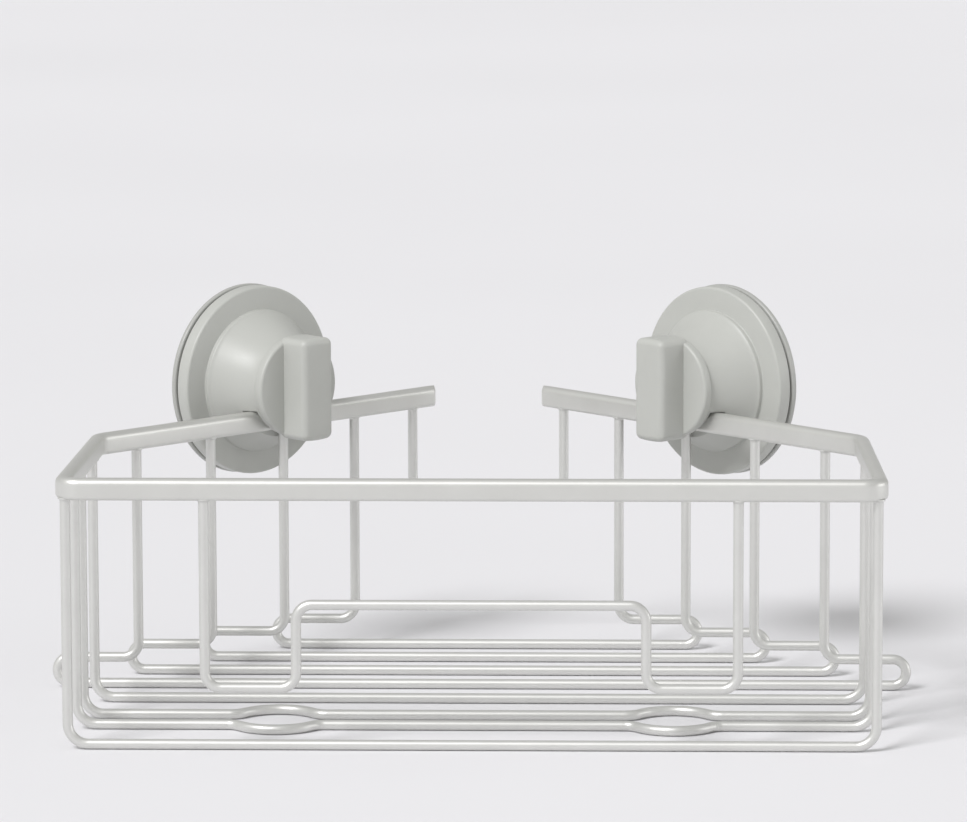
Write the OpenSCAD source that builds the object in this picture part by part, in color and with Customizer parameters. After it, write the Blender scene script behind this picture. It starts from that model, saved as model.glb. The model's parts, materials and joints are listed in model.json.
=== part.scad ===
// Corner shower caddy: a wire basket hung from a flat bar rim, held to two
// walls by twist-lock suction units that slide along the rim's rear arms.
// Frame: +Z up, X from left to right, Y from the front rim to the corner,
// origin on the floor under the middle of the rim's plan outline.

/* [Rim rail] */
// Distance between the straight side stretches at the front corners, centre to centre
rail_width = 275; // [250:1:300]
// Angle by which each side closes in towards the rear
side_toe = 2.35; // [0:0.05:4]
// Depth of the rim from the front stretch to the rear tips, centre to centre
rail_depth = 204; // [190:1:230]
// Clear half distance between the middle plane and each rear tip's centre
arm_tip_x = 22; // [16:1:26]
// Height of the underside of the rim above the floor
rail_underside = 85.5; // [78:0.5:100]
// Thickness of the flat bar
rail_t = 5; // [4.25:0.25:6]
// Height of the flat bar
rail_h = 7.5; // [6.5:0.25:9]
// Rounding of the bar's long edges
rail_edge_r = 1.6; // [0.5:0.1:2]
// Centre line radius of the two front corner bends
front_bend_r = 6; // [6:0.5:8]
// Centre line radius of the two bends where the arms begin
arm_bend_r = 9; // [8:1:20]

/* [Basket wires] */
// Wire diameter
wire_d = 3.5; // [3:0.25:4]
// Y spacing of the four rear wires, and their X spacing along the arms
wire_pitch = 24.3; // [22:0.1:26]
// Distance of the first floor wire behind the front stretch
first_wire_gap = 2; // [1:0.25:3]
// Distance from the front stretch to the pair of eye wires' middle line
eye_line = 43; // [40:1:46]
// Distance between the two eye wires where they run straight
eye_pair_gap = 17; // [14:0.5:20]
// Distance from the front stretch to the fourth floor wire
fourth_wire = 80; // [74:1:84]
// Half distance between the two eyes
eye_x = 68; // [50:1:80]
// Centre line radius of the rounded top of an eye
eye_crest_r = 15; // [10:0.5:16]
// Centre line radius of the two bends at the ends of an eye
eye_side_r = 6; // [3:0.5:8]
// Bend radius of a wire corner
wire_bend_r = 5.5; // [5:0.5:7]
// Bend radius of the front corners of the floor wires
floor_bend_r = 7; // [5:0.5:9]
// Height of a hairpin's upper leg above its lower leg
hairpin_rise = 9.3; // [8:0.1:12]
// How far a hairpin's tip stands out from its upright, to the outside of the wire
hairpin_reach = 30.6; // [26:0.2:30.6]

/* [Guard and cross wires] */
// Half width of the front guard wire
guard_half = 89.4; // [80:0.2:100]
// Half width of the raised middle of the front guard wire
guard_mid_half = 58.7; // [45:0.1:65]
// Height of the low stretches of the guard wire, to the wire's centre
guard_low = 21.5; // [15:0.5:30]
// Height of the raised middle of the guard wire, to the wire's centre
guard_high = 50; // [40:1:60]
// Half width of the rear cross wire
cross_half = 27.7; // [26:0.1:30]
// Height of the rear cross wire, to the wire's centre
cross_z = 55; // [40:1:60]

/* [Suction units] */
// Distance of each unit's axis from the middle plane, at the rim
unit_x = 72; // [60:0.5:84]
// Height of each unit's axis above the middle of the rim bar
unit_rise = 12; // [12:0.25:13.5]
// Distance from the rim's centre line to the wall face of the cup
wall_gap = 22.2; // [22.2:0.1:23]
// Diameter of the suction cup's lip
cup_d = 68.6; // [68.2:0.2:74]
// Diameter of the housing's flange
flange_d = 68; // [64:0.5:68]
// Diameter of the neck where it leaves the flange
neck_base_d = 51; // [48:0.5:53]
// Diameter of the neck at its front end
neck_front_d = 34; // [33.5:0.5:37]
// Diameter of the knob's round base
knob_d = 36; // [32:0.5:38]
// Width of the knob's grip
grip_w = 14; // [12:0.5:16]
// Height of the knob's grip
grip_h = 37; // [34:0.5:38]
// How far the grip stands out from the knob's base
grip_depth = 11; // [9:0.5:13]
// Diameter of the threaded stud
stud_d = 8; // [7:0.25:9]

/* [Hidden] */
$fn = 48;

metal = "#C9C8C1";
plastic = "#BDBEB7";
soft = "#C6C8C2";
white_plastic = "#D8D8D4";

// Wires
wire_r = wire_d / 2;
weld = 1.5;
wire_top = rail_underside + weld;
floor_z = wire_r;
upper_z = floor_z + hairpin_rise;
// Each eye is four arcs that turn by the steep angle of a 3-4-5 triangle
eye_turn = atan(4 / 3);
eye_half = (eye_side_r + eye_crest_r) * 4 / 5;

// Plan of the rim
front_y = -rail_depth / 2;
side_x = rail_width / 2;
tip_y = rail_depth / 2;
apex_y = tip_y + arm_tip_x;
side_slope = tan(side_toe);
corner_x = (side_x - side_slope * (apex_y - front_y)) / (1 - side_slope);
corner_y = apex_y - corner_x;
rail_z = rail_underside + rail_h / 2;
arm_cut = arm_bend_r * tan((45 - side_toe) / 2);
front_cut = front_bend_r * tan((90 + side_toe) / 2);
arm_run = (corner_x - arm_tip_x) * sqrt(2) - arm_cut;
side_run = (corner_y - front_y) / cos(side_toe) - arm_cut - front_cut;

// A length rounded to a tenth of a millimetre
function tenth(v) = round(v * 10) / 10;
// X of the rim's centre line on a side stretch at a given Y
function side_line(y) = tenth(side_x - side_slope * (y - front_y));
// X of the rim's centre line on a front corner bend at a given Y
function bend_line(y) = tenth(
    side_x - front_bend_r + sqrt(pow(front_bend_r, 2) - pow(front_y + front_bend_r - y, 2))
);

first_y = front_y + first_wire_gap;
second_y = front_y + eye_line - eye_pair_gap / 2;
third_y = front_y + eye_line + eye_pair_gap / 2;
fourth_y = front_y + fourth_wire;
// X of the uprights of the four hairpin wires, from front to rear
hairpin_x = [for (i = [0:3]) apex_y - (fourth_y + (i + 1) * wire_pitch + 0.7)];

// Suction unit, along its axis: 0 is the rim's centre line, plus is inwards
unit_y = apex_y - unit_x;
axis_z = rail_z + unit_rise;
lip_t = 2.2;
lip_front = lip_t - wall_gap;
flange_back = lip_front + 1;
flange_t = 5.3;
flange_front = flange_back + flange_t;
skin = 1.9;
web_back = -6;
neck_front = 4.2;
washer_t = 0.4;
washer_r = 12;
washer_play = 0.3;
knob_back = neck_front + washer_t;
knob_side = knob_back + 2.4;
knob_front = knob_side + 1;
grip_front = knob_front + grip_depth;
stud_travel = 2.5;
slot_play = 0.15;
mouth_play = 0.35;
key_play = 0.1;
key_front = -3.4;
thread_play = 0.08;
key_w = 9;
boss_r = 12;
boss_front = flange_back + 4.4;
stud_plate_r = 9;
stud_plate_t = 1.6;
plate_back = lip_front + 1.4;
plate_play = 0.1;
stud_end = knob_front + 2.6;
bore_spare = 0.6;

// Cup: width of its flat sealing ring, its rounded lip edge and the hollow behind it
seal_w = 4.2;
lip_edge_r = 0.8;
hollow_depth = 1.3;
hollow_edge = 0.9;
hollow_w = 14;
// Housing: rounding and chamfers
flange_edge_r = 1.6;
flange_back_edge = 0.6;
shoulder_r = 1.8;
recess_side = 3.4;
recess_taper = 2.8;
neck_wall = 5.5;
// Knob: chamfer of its base and roundings of its grip, seen along X, Y and Z
knob_chamfer = 1.8;
knob_edge = 0.5;
grip_side_r = 3.2;
grip_end_r = 2.2;
grip_plan_r = 2.6;

// How far a cutter passes the face it cuts
over = 1;
// The arms of the rim bar are slimmer by a hair than its bends, and lap into them
arm_less = 0.01;
arm_lap = 0.2;

// Points on an arc with centre c and radius r, from angle a to angle b
function arc(c, r, a, b, n = 6) =
    [for (i = [0:n]) c + r * [cos(a + (b - a) * i / n), sin(a + (b - a) * i / n)]];

// Moves its children from the start of a step to its end. Each step is [length, bend
// radius, turn, roll]: a straight length along +Z, then a bend towards +X after rolling
// about +Z
module after(step) {
    translate([0, 0, step[0]])
        rotate([0, 0, step[3]])
            translate([step[1], 0, 0])
                rotate([0, step[2], 0])
                    translate([-step[1], 0, 0])
                        rotate([0, 0, -step[3]])
                            children();
}

// Places its children at the end of the last step
module at_end(steps, i = 0) {
    if (i == len(steps) - 1)
        translate([0, 0, steps[i][0]])
            children();
    else
        after(steps[i])
            at_end(steps, i + 1)
                children();
}

// A bend of the child profile from the XZ plane, round Z, through a turn
module bend(r, turn) {
    big = 8 * r;
    if (turn % 90 == 0)
        rotate_extrude(angle = turn, $fn = 96)
            translate([r, 0])
                children();
    else
        difference() {
            rotate_extrude($fn = 96)
                translate([r, 0])
                    children();
            translate([-big / 2, -big, -big / 2])
                cube(big);
            rotate([0, 0, turn])
                translate([-big / 2, 0, -big / 2])
                    cube(big);
        }
}

// The child profile swept along the steps from the origin
module swept(steps, i = 0) {
    step = steps[i];
    if (step[0] > 0)
        linear_extrude(height = step[0])
            children();
    if (i < len(steps) - 1) {
        translate([0, 0, step[0]])
            rotate([0, 0, step[3]])
                translate([step[1], 0, 0])
                    rotate([-90, 0, 0])
                        rotate([0, 0, 180])
                            bend(step[1], step[2])
                                children();
        after(step)
            swept(steps, i + 1)
                children();
    }
}

// A round wire made of steps
module wire(steps) {
    color(metal)
        swept(steps)
            circle(r = wire_r);
}

// Steps of a symmetric wire from its left half: the last length is half the middle stretch,
// and the turns run back in reverse on the right half
function mirrored(half) =
    let (last = len(half) - 1)
    concat(
        [for (i = [0:last - 1]) half[i]],
        [[2 * half[last][0], half[last - 1][1], half[last - 1][2], half[last - 1][3]]],
        [for (i = [last - 1:-1:1]) [half[i][0], half[i - 1][1], half[i - 1][2], half[i - 1][3]]],
        [[half[0][0]]]
    );

// Cross-section of the rim bar, thickness along X and height along Y, less a hair all round
module bar_section(less = 0) {
    t = rail_t - 2 * less;
    h = rail_h - 2 * less;
    square([t, h - 2 * rail_edge_r], center = true);
    square([t - 2 * rail_edge_r, h], center = true);
    for (x = [-1, 1])
        for (y = [-1, 1])
            translate([x * (t / 2 - rail_edge_r), y * (h / 2 - rail_edge_r)])
                circle(r = rail_edge_r);
}

// A straight arm of the bar with its rounded free end, from the origin along +Z
module bar_arm() {
    translate([0, 0, -arm_lap])
        linear_extrude(height = arm_run + arm_lap)
            bar_section(arm_less);
    translate([0, 0, arm_run])
        rotate([90, 0, 0])
            rotate_extrude(angle = 180, $fn = 96)
                intersection() {
                    bar_section(arm_less);
                    translate([0, -rail_h])
                        square([rail_t, 2 * rail_h]);
                }
}

// One flat bar bent to the basket's outline, open between its two rear tips
module rim_rail() {
    steps = [
        [side_x - front_cut, front_bend_r, 90 + side_toe, 0],
        [side_run, arm_bend_r, 45 - side_toe, 0],
        [0]
    ];
    color(metal)
        for (side = [0, 1])
            mirror([side, 0, 0])
                translate([0, front_y, rail_z])
                    rotate([90, 0, 90]) {
                        swept(steps)
                            bar_section();
                        at_end(steps)
                            bar_arm();
                    }
}

// A plain U wire: two uprights at +x and -x, and a floor stretch
module floor_wire(x, y) {
    half = [
        [wire_top - floor_z - floor_bend_r, floor_bend_r, 90, 0],
        [x - floor_bend_r]
    ];
    translate([-x, y, wire_top])
        rotate([180, 0, 0])
            wire(mirrored(half));
}

// A U wire whose floor stretch bows out at two eyes, forwards (-1) or backwards (+1)
module eye_wire(x, y, way) {
    out = way > 0 ? 270 : 90;
    back = 360 - out;
    half = [
        [wire_top - floor_z - floor_bend_r, floor_bend_r, 90, 0],
        [x - floor_bend_r - eye_x - eye_half, eye_side_r, eye_turn, out],
        [0, eye_crest_r, eye_turn, back],
        [0, eye_crest_r, eye_turn, back],
        [0, eye_side_r, eye_turn, out],
        [eye_x - eye_half]
    ];
    translate([-x, y, wire_top])
        rotate([180, 0, 0])
            wire(mirrored(half));
}

// A wire that stands on an arm at +x and -x. Its foot turns outwards, runs to a
// U-turn near the wall and comes back underneath to cross the floor
module hairpin_wire(x) {
    tip = x + hairpin_reach - wire_r - hairpin_rise / 2;
    half = [
        [wire_top - upper_z - wire_bend_r, wire_bend_r, 90, 180],
        [tip - x - wire_bend_r, hairpin_rise / 2, 180, 0],
        [tip]
    ];
    translate([-x, apex_y - x, wire_top])
        rotate([180, 0, 0])
            wire(mirrored(half));
}

// The front guard: low at both ends and raised in the middle
module front_guard_wire() {
    half = [
        [wire_top - guard_low - wire_bend_r, wire_bend_r, 90, 0],
        [guard_half - guard_mid_half - 2 * wire_bend_r, wire_bend_r, 90, 0],
        [guard_high - guard_low - 2 * wire_bend_r, wire_bend_r, 90, 180],
        [guard_mid_half - wire_bend_r]
    ];
    translate([-guard_half, front_y, wire_top])
        rotate([180, 0, 0])
            wire(mirrored(half));
}

// The short U wire that ties the two arm tips together at mid height
module rear_cross_wire() {
    half = [
        [wire_top - cross_z - wire_bend_r, wire_bend_r, 90, 0],
        [cross_half - wire_bend_r]
    ];
    translate([-cross_half, apex_y - cross_half, wire_top])
        rotate([180, 0, 0])
            wire(mirrored(half));
}

// Puts a unit's own frame on an arm: its Z runs inwards along the unit's axis,
// its Y runs up and its origin is above the rim's centre line
module on_arm(side) {
    mirror([side < 0 ? 1 : 0, 0, 0])
        translate([unit_x, unit_y, axis_z])
            rotate([90, 0, -45])
                children();
}

// Soft cup: a flat sealing lip, a shallow hollow and a boss around the stud's plate
module suction_cup(side) {
    r = cup_d / 2;
    edge = r - lip_edge_r;
    outline = concat(
        [[0, hollow_depth - wall_gap], [r - hollow_w, hollow_edge - wall_gap]],
        [[edge - seal_w, -wall_gap], [edge, -wall_gap]],
        arc([edge, lip_front - lip_edge_r], lip_edge_r, -90, 90),
        [[r - 8, lip_front + 0.6], [boss_r + 3, lip_front + 2.2]],
        [[boss_r, lip_front + 4], [boss_r, boss_front], [0, boss_front]]
    );
    color(soft)
        on_arm(side)
            difference() {
                rotate_extrude($fn = 128)
                    polygon(outline);
                translate([0, 0, plate_back - plate_play])
                    cylinder(r = stud_plate_r + plate_play, h = stud_plate_t + 2 * plate_play);
                translate([0, 0, plate_back])
                    cylinder(r = key_w / sqrt(2) + 2.5 * plate_play, h = wall_gap);
            }
}

// Half outline of the housing's outside, from the flange's back to the neck's front
function housing_outline() =
    let (
        flange_r = flange_d / 2,
        base_r = neck_base_d / 2,
        front_r = neck_front_d / 2,
        bell_r = base_r - 2.4,
        bell_back = flange_front + 3,
        bell_front = neck_front - 1
    )
    concat(
        [[0, flange_back], [flange_r - flange_back_edge, flange_back]],
        [[flange_r, flange_back + flange_back_edge]],
        arc([flange_r - flange_edge_r, flange_front - flange_edge_r], flange_edge_r, 0, 80),
        [[base_r + 1.2, flange_front + 0.6]],
        arc([base_r - shoulder_r, flange_front + 1], shoulder_r, 0, 72),
        [for (i = [1:5]) [
            front_r + (bell_r - front_r) * pow(1 - i / 5, 1.2),
            bell_back + (bell_front - bell_back) * i / 5
        ]],
        [[front_r - 0.9, neck_front], [0, neck_front]]
    );

// One-piece housing: flange, bell-shaped neck with a slot that rides the rim bar,
// and a square hole that keeps the stud from turning
module housing(side) {
    slot = rail_t + 2 * slot_play;
    mouth = wire_d + 2 * mouth_play;
    recess_r = flange_d / 2 - recess_side;
    recess_h = flange_t - skin + over;
    hollow_r = neck_base_d / 2 - neck_wall;
    key_hole = key_w + 2 * key_play;
    key_stop = key_front + stud_travel + 0.3;
    color(plastic)
        on_arm(side)
            difference() {
                rotate_extrude($fn = 128)
                    polygon(housing_outline());
                translate([0, 0, flange_back - over])
                    cylinder(r1 = recess_r, r2 = recess_r - recess_taper, h = recess_h);
                translate([0, 0, flange_back - over])
                    cylinder(r = hollow_r, h = web_back - flange_back + over);
                translate([-key_hole / 2, -key_hole / 2, web_back - over])
                    cube([key_hole, key_hole, key_stop - web_back + over]);
                cylinder(r = stud_d / 2 + thread_play, h = cup_d, center = true);
                translate([-cup_d / 2, -unit_rise - rail_h / 2 - slot_play, -slot / 2])
                    cube([cup_d, rail_h + 2 * slot_play, slot]);
                translate([-cup_d / 2, -unit_rise - neck_base_d, -mouth / 2])
                    cube([cup_d, neck_base_d, mouth]);
            }
}

// Stud: a round plate held in the cup, a square key and a coarse threaded shank
module stud(side) {
    color(white_plastic)
        on_arm(side) {
            translate([0, 0, plate_back])
                cylinder(r = stud_plate_r, h = stud_plate_t);
            translate([-key_w / 2, -key_w / 2, plate_back + stud_plate_t])
                cube([key_w, key_w, key_front - plate_back - stud_plate_t]);
            translate([0, 0, key_front])
                cylinder(d = stud_d, h = stud_end - key_front);
        }
}

// Thin washer between the neck and the knob
module washer(side) {
    color(white_plastic)
        on_arm(side)
            translate([0, 0, neck_front])
                difference() {
                    cylinder(r = washer_r, h = washer_t);
                    translate([0, 0, -over])
                        cylinder(r = stud_d / 2 + washer_play, h = washer_t + 2 * over);
                }
}

// Rounded rectangle w by h centred on the origin
module rounded(w, h, r) {
    square([w, h - 2 * r], center = true);
    square([w - 2 * r, h], center = true);
    for (x = [-1, 1])
        for (y = [-1, 1])
            translate([x * (w / 2 - r), y * (h / 2 - r)])
                circle(r = r);
}

// Upright grip of the knob, rounded on every outer edge
module grip() {
    depth = 2 * (grip_front - knob_side);
    intersection() {
        translate([0, 0, knob_side])
            linear_extrude(height = depth / 2)
                rounded(grip_w, grip_h, grip_plan_r);
        translate([-grip_w / 2, 0, knob_side])
            rotate([90, 0, 90])
                linear_extrude(height = grip_w)
                    rounded(grip_h, depth, grip_side_r);
        translate([0, grip_h / 2, knob_side])
            rotate([90, 0, 0])
                linear_extrude(height = grip_h)
                    rounded(grip_w, depth, grip_end_r);
    }
}

// Knob: a bevelled round base with an upright grip, and a blind threaded hole
module knob(side) {
    r = knob_d / 2;
    bore = stud_end + stud_travel + bore_spare + over - knob_back;
    outline = [
        [0, knob_back], [r - knob_edge, knob_back], [r, knob_back + knob_edge],
        [r, knob_side - knob_edge], [r - knob_edge, knob_side],
        [r - knob_chamfer, knob_front], [0, knob_front]
    ];
    color(plastic)
        on_arm(side)
            difference() {
                union() {
                    rotate_extrude($fn = 128)
                        polygon(outline);
                    grip();
                }
                translate([0, 0, knob_back - over])
                    cylinder(r = stud_d / 2 + thread_play, h = bore);
            }
}

rim_rail();
floor_wire(bend_line(first_y), first_y);  // floor_wire_1
eye_wire(side_line(second_y), second_y, -1);  // floor_wire_2
eye_wire(side_line(third_y), third_y, 1);  // floor_wire_3
floor_wire(side_line(fourth_y), fourth_y);  // floor_wire_4
hairpin_wire(hairpin_x[0]);  // hairpin_wire_5
hairpin_wire(hairpin_x[1]);  // hairpin_wire_6
hairpin_wire(hairpin_x[2]);  // hairpin_wire_7
hairpin_wire(hairpin_x[3]);  // hairpin_wire_8
front_guard_wire();
rear_cross_wire();
suction_cup(-1);  // left_suction_cup
housing(-1);  // left_housing
stud(-1);  // left_stud
washer(-1);  // left_washer
knob(-1);  // left_knob
suction_cup(1);  // right_suction_cup
housing(1);  // right_housing
stud(1);  // right_stud
washer(1);  // right_washer
knob(1);  // right_knob
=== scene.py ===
import json
import math

import bmesh
import bpy
from mathutils import Matrix, Vector


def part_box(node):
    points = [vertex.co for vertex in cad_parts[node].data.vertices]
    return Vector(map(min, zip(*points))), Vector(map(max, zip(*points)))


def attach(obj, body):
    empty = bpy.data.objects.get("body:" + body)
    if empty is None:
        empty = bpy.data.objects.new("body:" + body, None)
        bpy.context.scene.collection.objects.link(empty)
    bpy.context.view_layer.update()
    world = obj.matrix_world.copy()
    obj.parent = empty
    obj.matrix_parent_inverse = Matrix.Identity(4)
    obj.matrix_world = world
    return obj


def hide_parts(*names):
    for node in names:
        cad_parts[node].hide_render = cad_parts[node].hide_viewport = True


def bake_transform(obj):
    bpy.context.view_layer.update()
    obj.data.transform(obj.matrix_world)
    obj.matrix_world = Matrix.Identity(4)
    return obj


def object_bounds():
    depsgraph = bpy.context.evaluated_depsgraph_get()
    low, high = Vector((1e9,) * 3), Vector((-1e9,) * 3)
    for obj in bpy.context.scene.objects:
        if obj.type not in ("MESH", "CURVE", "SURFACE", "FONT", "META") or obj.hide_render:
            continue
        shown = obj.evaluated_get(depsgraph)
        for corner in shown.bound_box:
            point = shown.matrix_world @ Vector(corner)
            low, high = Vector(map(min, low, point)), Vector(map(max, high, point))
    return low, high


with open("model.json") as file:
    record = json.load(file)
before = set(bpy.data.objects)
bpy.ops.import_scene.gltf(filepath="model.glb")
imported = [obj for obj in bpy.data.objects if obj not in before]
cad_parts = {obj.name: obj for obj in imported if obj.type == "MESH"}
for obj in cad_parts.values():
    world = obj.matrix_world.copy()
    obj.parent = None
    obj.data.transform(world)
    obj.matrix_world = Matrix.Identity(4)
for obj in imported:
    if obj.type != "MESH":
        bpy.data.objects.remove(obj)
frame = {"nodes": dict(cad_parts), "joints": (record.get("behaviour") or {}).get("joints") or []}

cad_low, cad_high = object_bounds()
MM = 0.001

# Sizes of the wire basket that a node's box doesn't give, in metres
WIRE_R = 1.75 * MM
WELD_DEPTH = 1.5 * MM
FLOOR_BEND = 7.0 * MM
WIRE_BEND = 5.5 * MM
HAIRPIN_RISE = 9.3 * MM
HAIRPIN_REACH = 30.6 * MM
GUARD_STEP = 30.7 * MM
GUARD_RISE = 28.5 * MM
EYE_SIDE_R = 6.0 * MM
EYE_CREST_R = 15.0 * MM
EYE_X = 68.0 * MM
EYE_TURN = math.atan(4 / 3)
EYE_STEPS = 16
RAIL_T = 5.0 * MM
RAIL_TOP_EDGE = 2.35 * MM
RAIL_LOW_EDGE = 1.4 * MM
RAIL_FRONT_BEND = 6.0 * MM
RAIL_ARM_BEND = 9.0 * MM
RAIL_TOE = math.radians(2.35)
RAIL_END_STEPS = 8
TUBE_STEP = 12 * MM
BAR_STEP = 10 * MM

# Sizes of a suction unit along its axis and across it, in millimetres.
# Zero is the rail's centre line and plus is towards the knob
LIP_BACK = -22.2
LIP_FRONT = -20.0
FLANGE_BACK = -19.0
FLANGE_FRONT = -13.7
WEB_BACK = -6.0
NECK_BASE_R = 25.5
NECK_WALL = 5.5
NECK_STEPS = 19
NECK_FRONT = 4.2
NECK_FRONT_R = 17.0
KNOB_BACK = 4.6
KNOB_SIDE = 7.0
KNOB_FRONT = 8.0
KNOB_R = 18.0
KNOB_BORE_R = 4.1
GRIP_FRONT = 19.0
GRIP_W = 14.0
GRIP_BOW = 0.5
GRIP_EDGE = 2.2
BOSS_FRONT = -14.6
PLATE_BACK = -18.6
PLATE_FRONT = -17.0
PLATE_R = 9.0
PLATE_PLAY = 0.1
KEY_HOLE_R = 6.6
STUD_HOLE_R = 4.08
BORE_END = 13.7
RAIL_H = 7.5
SLOT_PLAY = 0.15
MOUTH = 4.2
SLOT_REACH = 40.0
MOUTH_DROP = 20.0
KEY_HALF = 4.6
KEY_STOP = -0.6


# ---------------------------------------------------------------- materials

def node_material(name):
    """A new material, its node tree, its Principled shader and its coordinates."""
    material = bpy.data.materials.new(name)
    material.use_nodes = True
    tree = material.node_tree
    shader = tree.nodes["Principled BSDF"]
    place = tree.nodes.new("ShaderNodeTexCoord")
    return material, tree, shader, place


def noise(tree, place, scale, detail=4.0, roughness=0.55):
    """A noise texture in the object's own space, in cycles per metre."""
    node = tree.nodes.new("ShaderNodeTexNoise")
    node.inputs["Scale"].default_value = scale
    node.inputs["Detail"].default_value = detail
    node.inputs["Roughness"].default_value = roughness
    tree.links.new(place.outputs["Object"], node.inputs["Vector"])
    return node


def ramp_colour(tree, source, dark, light, low=0.3, high=0.7):
    """A colour that runs from dark to light with a texture's value."""
    node = tree.nodes.new("ShaderNodeValToRGB")
    node.color_ramp.elements[0].position = low
    node.color_ramp.elements[0].color = (*dark, 1)
    node.color_ramp.elements[1].position = high
    node.color_ramp.elements[1].color = (*light, 1)
    tree.links.new(source, node.inputs["Fac"])
    return node.outputs["Color"]


def mapped(tree, source, from_low, from_high, to_low, to_high):
    """A value carried from one range to another."""
    node = tree.nodes.new("ShaderNodeMapRange")
    node.inputs["From Min"].default_value = from_low
    node.inputs["From Max"].default_value = from_high
    node.inputs["To Min"].default_value = to_low
    node.inputs["To Max"].default_value = to_high
    tree.links.new(source, node.inputs["Value"])
    return node.outputs["Result"]


def ramp_value(tree, source, low, high):
    """A value that runs from low to high as a texture goes from 0.3 to 0.7."""
    return mapped(tree, source, 0.3, 0.7, low, high)


def bump(tree, source, shader, height, strength=1.0, under=None):
    """Fine relief on the shader, as deep as height in metres."""
    node = tree.nodes.new("ShaderNodeBump")
    node.inputs["Strength"].default_value = strength
    node.inputs["Distance"].default_value = height
    tree.links.new(source, node.inputs["Height"])
    if under is not None:
        tree.links.new(under, node.inputs["Normal"])
    tree.links.new(node.outputs["Normal"], shader.inputs["Normal"])
    return node.outputs["Normal"]


def satin_metal(name, dark, light):
    """Satin metal coat: soft gloss, faint cloudiness and a fine orange-peel grain."""
    material, tree, shader, place = node_material(name)
    shader.inputs["Metallic"].default_value = 0.7
    shader.inputs["Specular IOR Level"].default_value = 0.5
    shader.inputs["Coat Weight"].default_value = 0.15
    shader.inputs["Coat Roughness"].default_value = 0.25
    cloud = noise(tree, place, 90)
    tree.links.new(ramp_colour(tree, cloud.outputs["Fac"], dark, light), shader.inputs["Base Color"])
    grain = noise(tree, place, 1400, 3.0, 0.6)
    tree.links.new(ramp_value(tree, grain.outputs["Fac"], 0.38, 0.44), shader.inputs["Roughness"])
    peel = noise(tree, place, 700, 2.0, 0.5)
    under = bump(tree, peel.outputs["Fac"], shader, 0.02 * MM, 0.3)
    fine = noise(tree, place, 3500, 2.0, 0.6)
    bump(tree, fine.outputs["Fac"], shader, 0.002 * MM, 0.4, under)
    return material


def moulded_plastic(name, dark, light, rough_low, rough_high, grain_height, soft=0.0):
    """Fine-textured moulded plastic, a little cloudy, softer or harder to the eye."""
    material, tree, shader, place = node_material(name)
    shader.inputs["IOR"].default_value = 1.5
    shader.inputs["Subsurface Weight"].default_value = soft
    shader.inputs["Subsurface Radius"].default_value = (1.0, 0.95, 0.9)
    shader.inputs["Subsurface Scale"].default_value = 1.5 * MM
    cloud = noise(tree, place, 60)
    tree.links.new(ramp_colour(tree, cloud.outputs["Fac"], dark, light), shader.inputs["Base Color"])
    speckle = noise(tree, place, 1100, 3.0, 0.6)
    tree.links.new(
        ramp_value(tree, speckle.outputs["Fac"], rough_low, rough_high), shader.inputs["Roughness"]
    )
    flow = noise(tree, place, 120, 2.0, 0.4)
    under = bump(tree, flow.outputs["Fac"], shader, 0.05 * MM, 0.25)
    grain = noise(tree, place, 2200, 3.0, 0.65)
    bump(tree, grain.outputs["Fac"], shader, grain_height, 0.3, under)
    return material


BAR_METAL = satin_metal("bar_satin", (0.655, 0.655, 0.63), (0.68, 0.68, 0.655))
WIRE_METAL = satin_metal("wire_satin", (0.67, 0.67, 0.65), (0.70, 0.70, 0.68))
PLASTIC = moulded_plastic(
    "plastic_grey", (0.46, 0.467, 0.44), (0.478, 0.485, 0.458), 0.38, 0.46, 0.008 * MM, 0.05
)
SOFT = moulded_plastic(
    "cup_soft", (0.39, 0.395, 0.375), (0.415, 0.42, 0.40), 0.30, 0.38, 0.006 * MM, 0.2
)
WHITE = moulded_plastic(
    "stud_white", (0.70, 0.70, 0.67), (0.75, 0.75, 0.72), 0.38, 0.46, 0.015 * MM, 0.1
)


# ---------------------------------------------------------------- mesh helpers

def make_object(name, mesh_builder, material, smooth_angle=35):
    """A shown object from a bmesh, smooth-shaded except at its sharp edges."""
    mesh = bpy.data.meshes.new(name)
    bmesh.ops.recalc_face_normals(mesh_builder, faces=mesh_builder.faces)
    mesh_builder.to_mesh(mesh)
    mesh_builder.free()
    mesh.materials.append(material)
    mesh.polygons.foreach_set("use_smooth", [True] * len(mesh.polygons))
    mesh.set_sharp_from_angle(angle=math.radians(smooth_angle))
    thing = bpy.data.objects.new(name, mesh)
    bpy.context.scene.collection.objects.link(thing)
    return thing


def bridge(builder, ring_a, ring_b):
    """Quads between two closed rings of vertices."""
    n = len(ring_a)
    for i in range(n):
        j = (i + 1) % n
        builder.faces.new((ring_a[i], ring_a[j], ring_b[j], ring_b[i]))


def rounded_route(corners, radii, step=math.radians(5)):
    """A polyline through corners, with each inner corner replaced by an arc of its radius."""
    points = [Vector(corners[0])]
    for i in range(1, len(corners) - 1):
        here = Vector(corners[i])
        back = (Vector(corners[i - 1]) - here).normalized()
        ahead = (Vector(corners[i + 1]) - here).normalized()
        turn = math.pi - back.angle(ahead)
        r = radii[i - 1]
        inwards = (back + ahead).normalized()
        centre = here + inwards * (r / math.cos(turn / 2))
        start = here + back * (r * math.tan(turn / 2)) - centre
        axis = back.cross(ahead).normalized()
        count = max(3, round(turn / step))
        for k in range(count + 1):
            points.append(centre + Matrix.Rotation(-turn * k / count, 3, axis) @ start)
    points.append(Vector(corners[-1]))
    return points


def refined(points, longest):
    """The same route with no stretch longer than a given length."""
    out = [points[0]]
    for a, b in zip(points, points[1:]):
        if (b - a).length < 1e-7:
            continue
        pieces = max(1, math.ceil((b - a).length / longest))
        out.extend(a.lerp(b, k / pieces) for k in range(1, pieces + 1))
    return out


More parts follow.
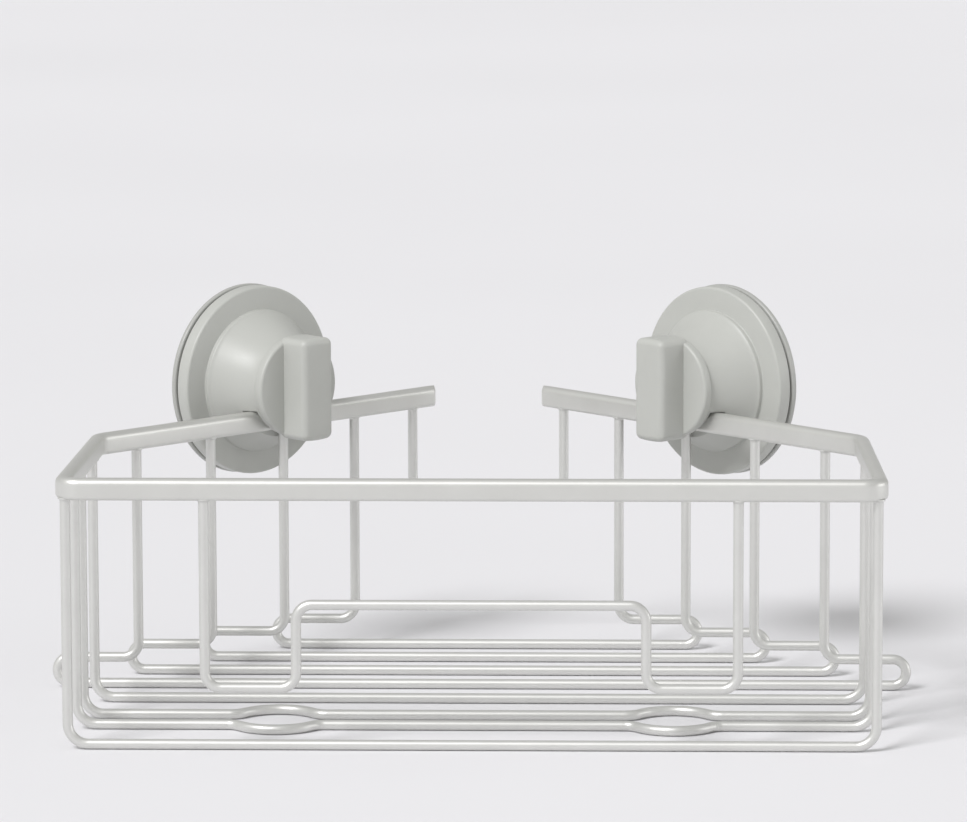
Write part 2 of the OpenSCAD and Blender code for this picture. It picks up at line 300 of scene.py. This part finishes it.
def directions(points):
    """The route's direction at each of its points."""
    out = []
    for i in range(len(points)):
        a = points[max(i - 1, 0)]
        b = points[min(i + 1, len(points) - 1)]
        out.append((b - a).normalized())
    return out


def tube(name, points, radius, material, sides=20):
    """A round wire along a route, closed by a flat cap at each end."""
    points = refined(points, TUBE_STEP)
    along = directions(points)
    across = along[0].orthogonal().normalized()
    builder = bmesh.new()
    rings = []
    for i, (point, ahead) in enumerate(zip(points, along)):
        if i:
            across = along[i - 1].rotation_difference(ahead) @ across
        other = ahead.cross(across)
        ring = []
        for k in range(sides):
            angle = 2 * math.pi * k / sides
            ring.append(builder.verts.new(
                point + radius * (math.cos(angle) * across + math.sin(angle) * other)
            ))
        rings.append(ring)
    for a, b in zip(rings, rings[1:]):
        bridge(builder, a, b)
    builder.faces.new(reversed(rings[0]))
    builder.faces.new(rings[-1])
    return make_object(name, builder, material, 50)


def bar_section():
    """The bar's section as (across, up) pairs: well rounded above, less below."""
    out = []
    for side, level, r, start in (
        (1, 1, RAIL_TOP_EDGE, 0), (-1, 1, RAIL_TOP_EDGE, 90),
        (-1, -1, RAIL_LOW_EDGE, 180), (1, -1, RAIL_LOW_EDGE, 270),
    ):
        centre_x = side * (RAIL_T / 2 - r)
        centre_z = level * (RAIL_H * MM / 2 - r)
        for k in range(10):
            angle = math.radians(start + 10 * k)
            out.append((centre_x + r * math.cos(angle), centre_z + r * math.sin(angle)))
    return out


def bar(name, points, material):
    """The flat bar along a level route, with both free ends rounded in plan."""
    points = refined(points, BAR_STEP)
    along = directions(points)
    section = bar_section()
    half_t = RAIL_T / 2
    stations = []
    for k in range(RAIL_END_STEPS, 0, -1):
        angle = math.radians(88) * k / RAIL_END_STEPS
        stations.append((points[0] - along[0] * half_t * math.sin(angle), along[0], math.cos(angle)))
    stations += [(point, ahead, 1.0) for point, ahead in zip(points, along)]
    for k in range(1, RAIL_END_STEPS + 1):
        angle = math.radians(88) * k / RAIL_END_STEPS
        stations.append((points[-1] + along[-1] * half_t * math.sin(angle), along[-1], math.cos(angle)))
    builder = bmesh.new()
    rings = []
    for point, ahead, width in stations:
        side = Vector((ahead.y, -ahead.x, 0))
        rings.append([
            builder.verts.new(point + side * (x * width) + Vector((0, 0, z))) for x, z in section
        ])
    for a, b in zip(rings, rings[1:]):
        bridge(builder, a, b)
    builder.faces.new(reversed(rings[0]))
    builder.faces.new(rings[-1])
    return make_object(name, builder, material, 40)


def arc(centre_r, centre_z, radius, start, end, count=6):
    """Profile points (radius, height) on an arc, angles in degrees."""
    out = []
    for k in range(count + 1):
        angle = math.radians(start + (end - start) * k / count)
        out.append((centre_r + radius * math.cos(angle), centre_z + radius * math.sin(angle)))
    return out


def lathe(name, profile, placing, material, segments=160, smooth_angle=35):
    """A turned solid from a closed (radius, height) profile in millimetres."""
    builder = bmesh.new()
    rings = []
    for r, z in profile:
        if r < 1e-6:
            rings.append([builder.verts.new(placing @ Vector((0, 0, z * MM)))])
            continue
        rings.append([
            builder.verts.new(placing @ Vector((
                r * MM * math.cos(2 * math.pi * k / segments),
                r * MM * math.sin(2 * math.pi * k / segments),
                z * MM,
            )))
            for k in range(segments)
        ])
    closing = [] if len(rings[0]) == 1 else [(rings[-1], rings[0])]
    for a, b in list(zip(rings, rings[1:])) + closing:
        if len(a) == 1 or len(b) == 1:
            tip, ring = (a[0], b) if len(a) == 1 else (b[0], a)
            for k in range(segments):
                builder.faces.new((tip, ring[k], ring[(k + 1) % segments]))
        else:
            bridge(builder, a, b)
    return make_object(name, builder, material, smooth_angle)


def cut_away(thing, placing, boxes):
    """Takes boxes, given by corner pairs in millimetres, out of an object."""
    for low, high in boxes:
        builder = bmesh.new()
        bmesh.ops.create_cube(builder, size=1)
        middle = [(a + b) / 2 * MM for a, b in zip(low, high)]
        spread = [(b - a) * MM for a, b in zip(low, high)]
        for vert in builder.verts:
            vert.co = placing @ Vector([m + s * c for m, s, c in zip(middle, spread, vert.co)])
        subtract(thing, make_object("cutter", builder, PLASTIC))


def subtract(thing, tool):
    """Takes the tool's solid out of an object and drops the tool."""
    change = thing.modifiers.new("cut", "BOOLEAN")
    change.operation = "DIFFERENCE"
    change.solver = "EXACT"
    change.object = tool
    apply_modifiers(thing)
    bpy.data.objects.remove(tool)


def apply_modifiers(thing):
    """Replaces an object's mesh by what its modifiers make of it."""
    evaluated = thing.evaluated_get(bpy.context.evaluated_depsgraph_get())
    mesh = bpy.data.meshes.new_from_object(evaluated)
    thing.modifiers.clear()
    old = thing.data
    thing.data = mesh
    bpy.data.meshes.remove(old)


def keep(thing, body, slot, *nodes):
    """Puts a finished piece on its body and hides the CAD nodes it stands for; the slot, its finish, is
    not used.
    """
    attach(thing, body)
    if nodes:
        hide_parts(*nodes)
    return thing


# ---------------------------------------------------------------- basket

rail_low, rail_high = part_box("rim_rail")
RAIL_Z = (rail_low.z + rail_high.z) / 2
RAIL_UNDER = rail_low.z
WIRE_TOP = RAIL_UNDER + WELD_DEPTH


def rail_route():
    """The rim's centre line, from the left tip round the front to the right tip."""
    front_y = rail_low.y + RAIL_T / 2
    tip_y = rail_high.y - RAIL_T / 2
    side_x = rail_high.x - RAIL_T / 2
    arm_y = upright_x("hairpin_wire_5") + middle("hairpin_wire_5").y
    slope = math.tan(RAIL_TOE)
    corner_x = (side_x - slope * (arm_y - front_y)) / (1 - slope)
    right = [
        (side_x, front_y, RAIL_Z),
        (corner_x, arm_y - corner_x, RAIL_Z),
        (arm_y - tip_y, tip_y, RAIL_Z),
    ]
    left = [(-x, y, z) for x, y, z in reversed(right)]
    bends = [RAIL_ARM_BEND, RAIL_FRONT_BEND, RAIL_FRONT_BEND, RAIL_ARM_BEND]
    return rounded_route(left + right, bends, math.radians(3))


def middle(node):
    """The middle of a node's box."""
    low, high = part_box(node)
    return (low + high) / 2


def upright_x(node):
    """How far a hairpin wire's uprights stand from the middle plane."""
    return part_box(node)[1].x - HAIRPIN_REACH


def symmetric(left):
    """A route's left corners and their mirror images."""
    return left + [(-x, y, z) for x, y, z in reversed(left)]


def floor_corners(node):
    low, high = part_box(node)
    x = high.x - WIRE_R
    y = middle(node).y
    return symmetric([(-x, y, WIRE_TOP), (-x, y, low.z + WIRE_R)])


def eye_points(x, y, z, way):
    """The route of one eye, from left to right, bowing towards way."""
    half = (EYE_SIDE_R + EYE_CREST_R) * math.sin(EYE_TURN)
    crest = (EYE_SIDE_R + EYE_CREST_R) * (1 - math.cos(EYE_TURN)) - EYE_CREST_R
    turn = math.degrees(EYE_TURN)
    arcs = (
        (x - half, y + way * EYE_SIDE_R, EYE_SIDE_R, -90, -90 + turn),
        (x, y + way * crest, EYE_CREST_R, 90 + turn, 90 - turn),
        (x + half, y + way * EYE_SIDE_R, EYE_SIDE_R, -90 - turn, -90),
    )
    out = []
    for centre_x, centre_y, r, start, end in arcs:
        for k in range(EYE_STEPS + 1):
            angle = math.radians(start + (end - start) * k / EYE_STEPS)
            out.append(Vector((
                centre_x + r * math.cos(angle), centre_y + way * r * math.sin(angle), z
            )))
    return out


def eye_wire_points(node, way):
    """A U wire whose floor stretch bows out at two eyes."""
    low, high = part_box(node)
    x = high.x - WIRE_R
    z = low.z + WIRE_R
    y = (high.y - WIRE_R) if way < 0 else (low.y + WIRE_R)
    corners = symmetric([(-x, y, WIRE_TOP), (-x, y, z)])
    ends = rounded_route(corners, [FLOOR_BEND] * 2)
    half = len(ends) // 2
    return (
        ends[:half] + eye_points(-EYE_X, y, z, way) + eye_points(EYE_X, y, z, way) + ends[half:]
    )


def hairpin_corners(node):
    low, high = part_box(node)
    x = upright_x(node)
    tip = high.x - WIRE_R
    y = middle(node).y
    floor_z = low.z + WIRE_R
    upper_z = floor_z + HAIRPIN_RISE
    return symmetric([(-x, y, WIRE_TOP), (-x, y, upper_z), (-tip, y, upper_z), (-tip, y, floor_z)])


def guard_corners(node):
    low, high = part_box(node)
    x = high.x - WIRE_R
    inner = x - GUARD_STEP
    y = middle(node).y
    low_z = low.z + WIRE_R
    high_z = low_z + GUARD_RISE
    return symmetric([(-x, y, WIRE_TOP), (-x, y, low_z), (-inner, y, low_z), (-inner, y, high_z)])


def weld(name, point):
    """A small weld collar where an upright meets the underside of the bar."""
    placing = Matrix.Translation((point[0], point[1], RAIL_UNDER))
    wire = WIRE_R / MM
    profile = [(wire - 0.3, 0.6), (wire + 0.6, 0.6)]
    profile += arc(wire + 0.85, -0.75, 0.85, 105, 180, 6)
    profile += [(wire - 0.3, -0.85)]
    return lathe(name, profile, placing, WIRE_METAL, 32)


def build_wire(node, points):
    """A wire with a weld at both of its upper ends, in place of its CAD node."""
    thing = keep(tube("look_" + node, points, WIRE_R, WIRE_METAL), "basket", "wire", node)
    for side, point in (("left", points[0]), ("right", points[-1])):
        keep(weld(f"weld_{node}_{side}", point), "basket", "wire")
    return thing


keep(bar("look_rim_rail", rail_route(), BAR_METAL), "basket", "bar", "rim_rail")
for node in ("floor_wire_1", "floor_wire_4", "rear_cross_wire"):
    radius = WIRE_BEND if node == "rear_cross_wire" else FLOOR_BEND
    build_wire(node, rounded_route(floor_corners(node), [radius] * 2))
for node, way in (("floor_wire_2", -1), ("floor_wire_3", 1)):
    build_wire(node, eye_wire_points(node, way))
for i in range(5, 9):
    node = f"hairpin_wire_{i}"
    u_turn = HAIRPIN_RISE / 2 - 0.001 * MM
    foot = [WIRE_BEND, u_turn, u_turn]
    build_wire(node, rounded_route(hairpin_corners(node), foot + foot[::-1]))
build_wire(
    "front_guard_wire", rounded_route(guard_corners("front_guard_wire"), [WIRE_BEND] * 6)
)


# ---------------------------------------------------------------- suction units

def unit_placing(side_name):
    """A unit's own frame: Z runs inwards along its axis, Y up, origin over the rail."""
    twist = next(j for j in frame["joints"] if j["name"] == side_name + "_knob_twist")
    inward = -Vector(twist["axis"]).normalized()
    up = Vector((0, 0, 1))
    across = up.cross(inward)
    placing = Matrix((across, up, inward)).transposed().to_4x4()
    placing.translation = Vector(twist["pos_m"])
    return placing


def half_height(node):
    """Half the height of a node's box, in millimetres."""
    low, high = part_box(node)
    return (high.z - low.z) / 2 / MM


def housing_profile(flange_r):
    """The housing's turned outline: recess, flange, shoulder and bell-shaped neck."""
    back, front = FLANGE_BACK, FLANGE_FRONT
    hollow_r = NECK_BASE_R - NECK_WALL
    profile = [(STUD_HOLE_R, WEB_BACK), (hollow_r, WEB_BACK), (hollow_r, front - 2.3)]
    profile += [(flange_r - 6.2, front - 1.9), (flange_r - 3.4, back)]
    profile += arc(flange_r - 0.5, back + 0.5, 0.5, -90, 0, 4)
    profile += arc(flange_r - 0.9, front - 0.9, 0.9, 0, 86, 7)
    profile += arc(NECK_BASE_R + 0.45, front + 0.5, 0.45, -92, -180, 5)
    profile += arc(NECK_BASE_R - 0.9, front + 1.1, 0.9, 4, 58, 6)
    start_r, start_z = profile[-1]
    end_z = NECK_FRONT - 0.6
    for k in range(1, NECK_STEPS):
        t = k / NECK_STEPS
        profile.append((
            NECK_FRONT_R + (start_r - NECK_FRONT_R) * (1 - t) ** 1.35,
            start_z + (end_z - start_z) * t,
        ))
    profile += arc(NECK_FRONT_R - 0.6, end_z, 0.6, 0, 90, 5)
    profile += [(STUD_HOLE_R, NECK_FRONT)]
    return profile


def build_housing(side_name, placing):
    """The one-piece housing with the slot that rides the bar."""
    node = side_name + "_housing"
    thing = lathe(node + "_look", housing_profile(half_height(node)), placing, PLASTIC)
    drop = (placing.translation.z - RAIL_Z) / MM
    slot_half = RAIL_T / MM / 2 + SLOT_PLAY
    slot_high = RAIL_H / 2 + SLOT_PLAY
    reach = SLOT_REACH
    slot = ((-reach, -drop - slot_high, -slot_half), (reach, -drop + slot_high, slot_half))
    mouth = ((-reach, -drop - MOUTH_DROP, -MOUTH / 2), (reach, -drop, MOUTH / 2))
    key = ((-KEY_HALF, -KEY_HALF, WEB_BACK - 1), (KEY_HALF, KEY_HALF, KEY_STOP))
    cut_away(thing, placing, (slot, mouth, key))
    edges = thing.modifiers.new("soft_edges", "BEVEL")
    edges.limit_method = "ANGLE"
    edges.angle_limit = math.radians(45)
    edges.width = 0.25 * MM
    edges.segments = 2
    apply_modifiers(thing)
    thing.data.set_sharp_from_angle(angle=math.radians(35))
    return keep(thing, side_name + "_unit", "plastic", node)


def build_cup(side_name, placing):
    """The soft cup: a lip with a rolled edge, a shallow hollow and a boss that grips the stud."""
    node = side_name + "_suction_cup"
    r = half_height(node)
    profile = [(0, LIP_BACK + 1.3)]
    profile += [(x, LIP_BACK + 0.9 + 0.4 * (1 - x / 21)) for x in (7, 14, 21)]
    profile += [(26, LIP_BACK + 0.62), (r - 5.7, LIP_BACK + 0.42), (r - 5.2, LIP_BACK)]
    profile += arc(r - 0.9, LIP_BACK + 0.9, 0.9, -90, 20, 6)
    profile += arc(r - 0.8, LIP_FRONT - 0.75, 0.75, 0, 90, 5)
    profile += [(r - 4.5, LIP_FRONT + 0.1), (26.5, LIP_FRONT + 0.6), (15, LIP_FRONT + 2.2)]
    profile += [(12, LIP_FRONT + 4), (12, BOSS_FRONT - 0.4), (11.6, BOSS_FRONT)]
    ceiling = PLATE_FRONT + PLATE_PLAY
    pocket_r = PLATE_R + PLATE_PLAY
    pocket_back = PLATE_BACK - PLATE_PLAY
    profile += [(KEY_HOLE_R, BOSS_FRONT), (KEY_HOLE_R, ceiling), (pocket_r, ceiling)]
    profile += [(pocket_r, pocket_back), (0, pocket_back)]
    thing = lathe(node + "_look", profile, placing, SOFT)
    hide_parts(node)
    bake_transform(thing)
    return thing


def stretched(step, half, r):
    """Where a cube's grid line at step (-1 to 1) goes, with even steps over the rounded edge."""
    flat = 0.6
    if abs(step) < flat:
        return step / flat * (half - r)
    turn = (abs(step) - flat) / (1 - flat) * math.pi / 4
    return math.copysign(half - r + r * math.tan(turn), step)


def rounded_block(name, low, high, r, bow, placing, material):
    """A block with every edge rounded by r and its two ends bowed out by bow."""
    builder = bmesh.new()
    bmesh.ops.create_cube(builder, size=2)
    bmesh.ops.subdivide_edges(builder, edges=builder.edges, cuts=19, use_grid_fill=True)
    centre = [(a + b) / 2 for a, b in zip(low, high)]
    half = [(b - a) / 2 for a, b in zip(low, high)]
    for vert in builder.verts:
        point = [stretched(c, h, r) for c, h in zip(vert.co, half)]
        inner = [max(r - h, min(h - r, p)) for p, h in zip(point, half)]
        offset = Vector([p - q for p, q in zip(point, inner)])
        if offset.length > 1e-9:
            offset = offset.normalized() * r
        place = Vector(inner) + offset
        swell = bow * (1 - (place.x / half[0]) ** 2) * (abs(place.y) / half[1]) ** 6
        place.y += math.copysign(swell, place.y)
        vert.co = placing @ Vector([(m + p) * MM for m, p in zip(centre, place)])
    return make_object(name, builder, material, 60)


def build_knob(side_name, placing):
    """The knob: a bevelled round base and an upright grip."""
    node = side_name + "_knob"
    r = KNOB_R
    profile = [(KNOB_BORE_R, KNOB_BACK), (r - 0.5, KNOB_BACK)]
    profile += arc(r - 0.5, KNOB_BACK + 0.5, 0.5, -90, 0, 4)
    edge_r = KNOB_FRONT - KNOB_SIDE
    profile += arc(r - edge_r, KNOB_SIDE, edge_r, 0, 90, 8)
    profile += [(9, KNOB_FRONT), (KNOB_BORE_R, KNOB_FRONT)]
    keep(lathe(node + "_base", profile, placing, PLASTIC), node, "plastic", node)
    tall = half_height(node) - GRIP_BOW
    grip = rounded_block(
        node + "_grip",
        (-GRIP_W / 2, -tall, KNOB_SIDE - GRIP_EDGE),
        (GRIP_W / 2, tall, GRIP_FRONT),
        GRIP_EDGE, GRIP_BOW, placing, PLASTIC,
    )
    bore = [(0, KNOB_BACK - 1), (STUD_HOLE_R, KNOB_BACK - 1), (STUD_HOLE_R, BORE_END), (0, BORE_END)]
    subtract(grip, lathe("cutter", bore, placing, PLASTIC, 64))
    grip.data.set_sharp_from_angle(angle=math.radians(60))
    keep(grip, node, "plastic", node)


def build_small_parts(side_name):
    """The stud and the washer keep their CAD shape and get a moulded finish."""
    for part in ("stud", "washer"):
        thing = frame["nodes"][f"{side_name}_{part}"]
        thing.data.materials.clear()
        thing.data.materials.append(WHITE)


for side_name in ("left", "right"):
    placing = unit_placing(side_name)
    build_housing(side_name, placing)
    build_cup(side_name, placing)
    build_knob(side_name, placing)
    build_small_parts(side_name)


# ---------------------------------------------------------------- stage, light and camera

def build_floor():
    """A wide plain pale floor that fills the view."""
    builder = bmesh.new()
    bmesh.ops.create_grid(builder, x_segments=4, y_segments=4, size=9)
    for vert in builder.verts:
        vert.co.z = cad_low.z - 0.05 * MM
    material, tree, shader, place = node_material("floor_pale")
    shader.inputs["Specular IOR Level"].default_value = 0.15
    cloud = noise(tree, place, 2.0, 2.0, 0.4)
    colour = ramp_colour(tree, cloud.outputs["Fac"], (0.785, 0.78, 0.80), (0.795, 0.79, 0.81))
    tree.links.new(colour, shader.inputs["Base Color"])
    tree.links.new(ramp_value(tree, cloud.outputs["Fac"], 0.55, 0.65), shader.inputs["Roughness"])
    thing = make_object("floor", builder, material)


KEY_FROM = Vector((-59, -78, 103)).normalized()
FILL_FROM = Vector((1.0, 0.0, 0.12)).normalized()


def build_world():
    """Soft studio light: brighter on the key's side, with a pale backdrop near the horizon."""
    world = bpy.data.worlds.new("studio")
    bpy.context.scene.world = world
    world.use_nodes = True
    tree = world.node_tree
    background = tree.nodes["Background"]
    place = tree.nodes.new("ShaderNodeTexCoord")
    facing = tree.nodes.new("ShaderNodeVectorMath")
    facing.operation = "DOT_PRODUCT"
    facing.inputs[1].default_value = KEY_FROM
    tree.links.new(place.outputs["Generated"], facing.inputs[0])
    parts = tree.nodes.new("ShaderNodeSeparateXYZ")
    tree.links.new(place.outputs["Generated"], parts.inputs["Vector"])
    level = tree.nodes.new("ShaderNodeMath")
    level.operation = "ADD"
    tree.links.new(mapped(tree, facing.outputs["Value"], -1, 1, 0.29, 0.62), level.inputs[0])
    tree.links.new(mapped(tree, parts.outputs["Z"], 0.0, 0.5, 0.24, 0.0), level.inputs[1])
    tree.links.new(level.outputs["Value"], background.inputs["Strength"])
    background.inputs["Color"].default_value = (1.0, 1.0, 0.985, 1)


def far_lamp(name, source, energy, width, colour=(1, 1, 1)):
    """A soft lamp at infinity in the direction source, width degrees across."""
    lamp = bpy.data.lights.new(name, "SUN")
    lamp.energy = energy
    lamp.angle = math.radians(width)
    lamp.color = colour
    thing = bpy.data.objects.new(name, lamp)
    bpy.context.scene.collection.objects.link(thing)
    thing.rotation_mode = "QUATERNION"
    thing.rotation_quaternion = source.to_track_quat("Z", "Y")


def build_lamps():
    """The key from the front left and above, and a weak low fill from the right."""
    far_lamp("key", KEY_FROM, 2.15, 20, (1.0, 0.995, 1.01))
    far_lamp("fill", FILL_FROM, 0.62, 40)


def build_camera():
    """The photograph's view: far off, a little left of head-on and about 9 degrees down."""
    focal_px = 6000.0
    image_px = 967.0
    data = bpy.data.cameras.new("camera")
    data.sensor_width = 36.0
    data.lens = focal_px / image_px * data.sensor_width
    data.clip_end = 50
    thing = bpy.data.objects.new("camera", data)
    bpy.context.scene.collection.objects.link(thing)
    yaw, pitch, roll = (math.radians(a) for a in (-1.765, 8.947, -0.152))
    turn = Matrix.Rotation(-yaw, 4, "Z") @ Matrix.Rotation(math.pi / 2 - pitch, 4, "X")
    place = Matrix.Translation(Vector((65.18, -2074.24, 426.51)) * MM)
    thing.matrix_world = place @ turn @ Matrix.Rotation(roll, 4, "Z")
    bpy.context.scene.camera = thing


build_floor()
build_world()
build_lamps()
build_camera()
bpy.context.scene.view_settings.view_transform = "Standard"
